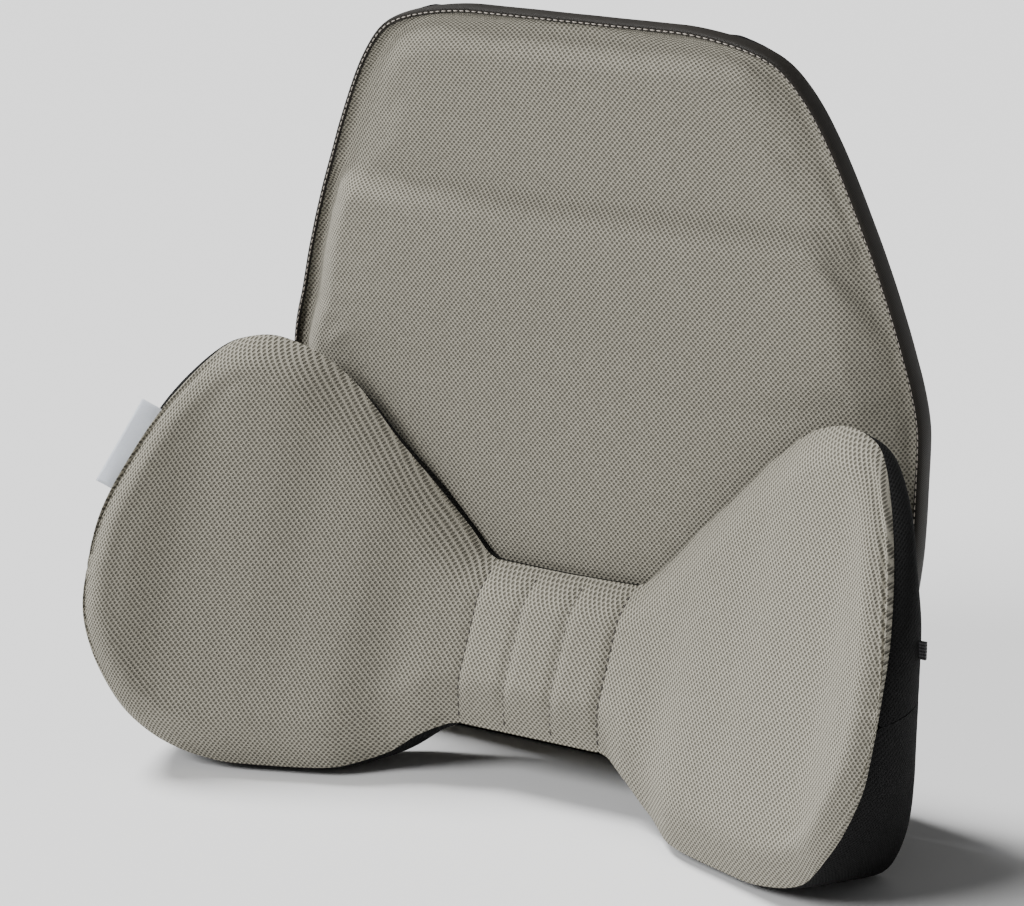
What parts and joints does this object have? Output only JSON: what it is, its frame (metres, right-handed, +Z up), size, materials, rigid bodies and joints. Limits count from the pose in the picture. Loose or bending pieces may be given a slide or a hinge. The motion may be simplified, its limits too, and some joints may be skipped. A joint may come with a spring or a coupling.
{
  "type": "lumbar support cushion",
  "caption": "Winged hip cushion hooked to a stiff padded back panel, with a rear zip and a buckled seat strap, for an office seat.",
  "frame": {"origin": "under the middle of the part, on the surface that it stands on", "axes": "+Z up, +Y towards the seat back, -Y towards the sitter, +X to the right as seen from the front"},
  "size_m": [0.4742, 0.1725, 0.4035],
  "materials": {
    "knit_face": "greige three-dimensional mesh knit",
    "knit_side": "black mesh knit",
    "rear_fabric": "black woven, matt",
    "binding": "dark warm brown tape",
    "foam": "open-cell foam",
    "gel": "soft gel",
    "board": "moulded sheet",
    "webbing": "ribbed webbing",
    "hook_loop": "hook and loop",
    "buckle": "moulded acetal",
    "zip_metal": "satin",
    "zip_tape": "woven tape",
    "zip_coil": "nylon coil",
    "label": "woven satin, blank"
  },
  "bodies": {
    "back_panel": {"back_front_cover": "knit_face", "back_foam_core": "foam", "back_stiffener_board": "board", "back_rear_cover_upper": "rear_fabric", "back_rear_cover_lower": "rear_fabric", "back_edge_binding": "binding", "back_zip_tape": "zip_tape", "back_zip_coil": "zip_coil", "strap_left": "webbing", "strap_right": "webbing", "strap_anchor_left": "webbing", "strap_anchor_right": "webbing", "strap_keeper": "buckle", "buckle_female": "buckle", "buckle_male": "buckle", "loop_strip_left": "hook_loop", "loop_strip_right": "hook_loop"},
    "zip_slider_body": {"zip_slider": "zip_metal"},
    "zip_pull_body": {"zip_pull": "zip_metal"},
    "prong_upper": {"buckle_prong_upper": "buckle"},
    "prong_lower": {"buckle_prong_lower": "buckle"},
    "waist": {"hook_strip_left": "hook_loop", "hook_strip_right": "hook_loop", "waist_front_cover": "knit_face", "waist_side_and_rear_cover": "knit_side", "waist_foam_core": "foam"},
    "wing_left": {"wing_left_label": "label", "wing_left_front_cover": "knit_face", "wing_left_side_and_rear_cover": "knit_side", "wing_left_end_gusset": "knit_side", "wing_left_foam_core": "foam", "wing_left_gel_pad": "gel", "wing_left_pull_tab": "webbing"},
    "wing_right": {"wing_right_front_cover": "knit_face", "wing_right_side_and_rear_cover": "knit_side", "wing_right_end_gusset": "knit_side", "wing_right_foam_core": "foam", "wing_right_gel_pad": "gel", "wing_right_pull_tab": "webbing"}
  },
  "joints": [
    {"name": "hip_height", "type": "slide", "parent": "back_panel", "child": "waist", "axis": [0, 0, 1], "range_m": [0, 0.035]},
    {"name": "wing_left_wrap", "type": "hinge", "parent": "waist", "child": "wing_left", "pos_m": [-0.0433, -0.0083, 0.067], "axis": [0, 0, 1], "range_deg": [0, 14], "stiffness_Nm_per_rad": 3},
    {"name": "wing_right_wrap", "type": "hinge", "parent": "waist", "child": "wing_right", "pos_m": [0.0433, -0.0083, 0.067], "axis": [0, 0, -1], "range_deg": [0, 14], "stiffness_Nm_per_rad": 3},
    {"name": "zip_travel", "type": "slide", "parent": "back_panel", "child": "zip_slider_body", "axis": [-1, 0, 0], "range_m": [0, 0.236]},
    {"name": "zip_pull_turn", "type": "hinge", "parent": "zip_slider_body", "child": "zip_pull_body", "pos_m": [0.118, 0.0808, 0.2], "axis": [0, 0, 1], "range_deg": [0, 170]},
    {"name": "prong_upper_pinch", "type": "hinge", "parent": "back_panel", "child": "prong_upper", "pos_m": [0.0106, 0.0826, 0.1232], "axis": [0, -1, 0], "range_deg": [0, 7], "stiffness_Nm_per_rad": 0.3},
    {"name": "prong_lower_pinch", "type": "hinge", "parent": "back_panel", "child": "prong_lower", "pos_m": [0.0106, 0.0826, 0.1008], "axis": [0, 1, 0], "range_deg": [0, 7], "stiffness_Nm_per_rad": 0.3}
  ]
}
